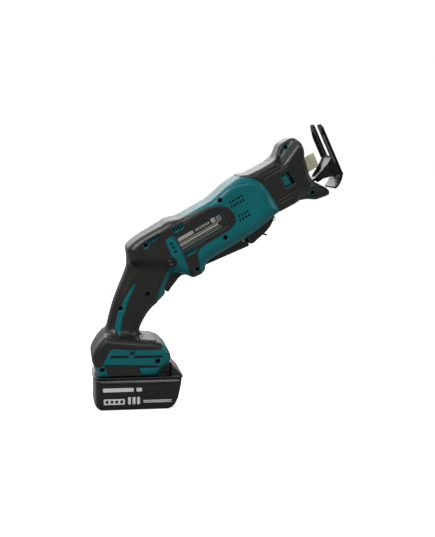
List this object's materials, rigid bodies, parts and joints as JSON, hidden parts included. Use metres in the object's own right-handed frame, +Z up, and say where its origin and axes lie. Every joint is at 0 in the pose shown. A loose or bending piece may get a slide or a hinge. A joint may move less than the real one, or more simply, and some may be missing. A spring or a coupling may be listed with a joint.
{
  "type": "reciprocating saw",
  "caption": "Cordless reciprocating saw: angled motor barrel, rear hand grip with trigger, rubber nose, adjustable shoe, blade holder and slide-on battery pack.",
  "frame": {"origin": "middle of the battery pack's flat base, in the mirror plane of the saw", "axes": "+X points the way the saw points, +Y to the saw's left, +Z up; the barrel leans up 30 degrees from +X"},
  "size_m": [0.3138, 0.076, 0.3554],
  "materials": {
    "shell": "moulded, fine grain",
    "grip_rubber": "moulded over the shell, fine grain",
    "label": "printed foil",
    "badge": "satin",
    "dark_steel": "black oxide",
    "guard": "moulded",
    "gear_case": "die cast",
    "bearing_steel": "ground",
    "gear_steel": "cut and oiled",
    "bronze": "sintered",
    "rod_steel": "satin",
    "release": "moulded",
    "shoe_steel": "black, pressed",
    "clamp_steel": "plain",
    "motor_steel": "zinc plated",
    "magnet": "sintered",
    "motor_plastic": "moulded",
    "carbon": "pressed",
    "spring_steel": "wire",
    "lamination": "stacked sheet",
    "copper": "enamelled",
    "fan_plastic": "moulded",
    "lens": "clear",
    "board": "soldered",
    "lead": "insulated",
    "battery_plastic": "moulded",
    "cell": "sleeved",
    "nickel": "strip"
  },
  "bodies": {
    "tool": {"housing_right": "shell", "housing_left": "shell", "grip_rubber_right": "grip_rubber", "grip_rubber_left": "grip_rubber", "nose_rubber_right": "grip_rubber", "nose_rubber_left": "grip_rubber", "rating_label": "label", "badge_left": "badge", "housing_screws": "dark_steel", "lower_guard": "guard", "gear_housing": "gear_case", "gear_cover": "gear_case", "gear_cover_screws": "dark_steel", "gear_bearing": "bearing_steel", "rod_guide_front": "bronze", "rod_guide_rear": "bronze", "shoe_clamp": "clamp_steel", "shoe_bolt": "dark_steel", "motor_can": "motor_steel", "field_magnets": "magnet", "end_bell": "motor_plastic", "brushes": "carbon", "brush_springs": "spring_steel", "motor_bearings": "bearing_steel", "switch_unit": "motor_plastic", "trigger_spring": "spring_steel", "paddle_pin": "bearing_steel", "paddle_switch": "motor_plastic", "lamp_lens": "lens", "lamp_board": "board", "terminal_block": "motor_plastic", "power_leads": "lead"},
    "crank": {"crank_gear": "gear_steel", "crank_pin": "bearing_steel", "crank_roller": "bearing_steel"},
    "rotor": {"rotor_shaft": "bearing_steel", "armature": "lamination", "windings": "copper", "commutator": "copper", "cooling_fan": "fan_plastic", "motor_pinion": "gear_steel"},
    "rod": {"blade_rod": "rod_steel", "blade_holder": "rod_steel", "blade_pins": "bearing_steel"},
    "release": {"release_slider": "release"},
    "shoe": {"shoe": "shoe_steel"},
    "trigger": {"trigger": "motor_plastic"},
    "lock_off": {"lock_off_button": "motor_plastic"},
    "paddle": {"paddle": "guard"},
    "lock_lever": {"lock_lever": "guard"},
    "battery": {"battery_case": "battery_plastic", "battery_cover": "battery_plastic", "battery_cells": "cell", "cell_straps": "nickel", "battery_board": "board", "battery_label": "label", "button_spring": "spring_steel"},
    "battery_button": {"battery_button": "battery_plastic"}
  },
  "joints": [
    {"name": "crank_spin", "type": "hinge", "parent": "tool", "child": "crank", "pos_m": [0.13826, 0, 0.25716], "axis": [0, 1, 0], "continuous": true},
    {"name": "rotor_spin", "type": "hinge", "parent": "tool", "child": "rotor", "pos_m": [0.07071, 0, 0.21816], "axis": [0.866, 0, 0.5], "continuous": true},
    {"name": "rod_slide", "type": "slide", "parent": "tool", "child": "rod", "axis": [0.866, 0, 0.5], "range_m": [-0.0065, 0.0065]},
    {"name": "release_slide", "type": "slide", "parent": "tool", "child": "release", "axis": [0.866, 0, 0.5], "range_m": [0, 0.0055]},
    {"name": "shoe_slide", "type": "slide", "parent": "tool", "child": "shoe", "axis": [0.866, 0, 0.5], "range_m": [0, 0.014]},
    {"name": "trigger_pull", "type": "slide", "parent": "tool", "child": "trigger", "axis": [-0.9272, 0, 0.3746], "range_m": [0, 0.006]},
    {"name": "lock_off_push", "type": "slide", "parent": "tool", "child": "lock_off", "axis": [0, 1, 0], "range_m": [-0.0025, 0.0025]},
    {"name": "paddle_squeeze", "type": "hinge", "parent": "tool", "child": "paddle", "pos_m": [0.13173, 0, 0.20848], "axis": [0, 1, 0], "range_deg": [0, 4]},
    {"name": "lock_lever_turn", "type": "hinge", "parent": "tool", "child": "lock_lever", "pos_m": [0.15308, 0, 0.21549], "axis": [0, 1, 0], "range_deg": [0, 12]},
    {"name": "battery_slide", "type": "slide", "parent": "tool", "child": "battery", "axis": [1, 0, 0], "range_m": [0, 0.095]},
    {"name": "battery_button_push", "type": "slide", "parent": "battery", "child": "battery_button", "axis": [0, 0, -1], "range_m": [0, 0.004], "deforming": ["button_spring"]}
  ],
  "couplings": [
    {"joint": "rotor_spin", "follows": "crank_spin", "ratio": -4.8}
  ]
}
